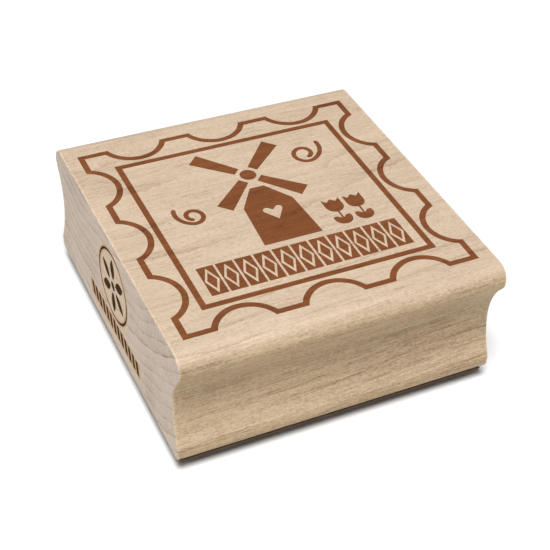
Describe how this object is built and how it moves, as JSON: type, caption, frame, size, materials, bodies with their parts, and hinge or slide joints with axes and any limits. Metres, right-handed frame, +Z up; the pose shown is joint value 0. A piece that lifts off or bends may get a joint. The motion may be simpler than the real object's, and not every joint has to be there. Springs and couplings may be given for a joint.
{
  "type": "wood-mounted rubber stamp",
  "caption": "Square wooden hand stamp: maple moulding block with finger grooves, burnt picture on top, foam cushion and raised rubber die under it.",
  "frame": {"origin": "under the middle of the block, on the printing face of the rubber die", "axes": "+Z up from the printing face to the picture on top, +X along the moulding's grain towards the plain end, +Y towards the top edge of the picture"},
  "size_m": [0.0636, 0.0668, 0.028],
  "materials": {
    "maple": "sanded, uncoated",
    "adhesive": "clear film, slightly yellow",
    "foam": "closed-cell foam",
    "die_rubber": "matte",
    "picture_burn": "laser-burnt maple, red-brown",
    "end_burn": "laser-burnt maple, dark"
  },
  "bodies": {
    "mount": {"wood_block": "maple", "block_film": "adhesive", "cushion": "foam", "index_perforated_frame": "picture_burn", "index_inner_frame": "picture_burn", "index_sail_1": "picture_burn", "index_sail_2": "picture_burn", "index_sail_3": "picture_burn", "index_sail_4": "picture_burn", "index_hub": "picture_burn", "index_tower": "picture_burn", "index_tulip_left": "picture_burn", "index_tulip_right": "picture_burn", "index_curl_large": "picture_burn", "index_curl_small": "picture_burn", "index_border_tiles": "picture_burn", "end_ring": "end_burn", "end_rosette": "end_burn", "end_dashes": "end_burn"},
    "die": {"die_film": "adhesive", "rubber_die": "die_rubber"}
  },
  "joints": [
    {"name": "cushion_press", "type": "slide", "parent": "mount", "child": "die", "axis": [0, 0, 1], "range_m": [0, 0.0005], "stiffness_N_per_m": 6000, "deforming": ["cushion"]}
  ]
}
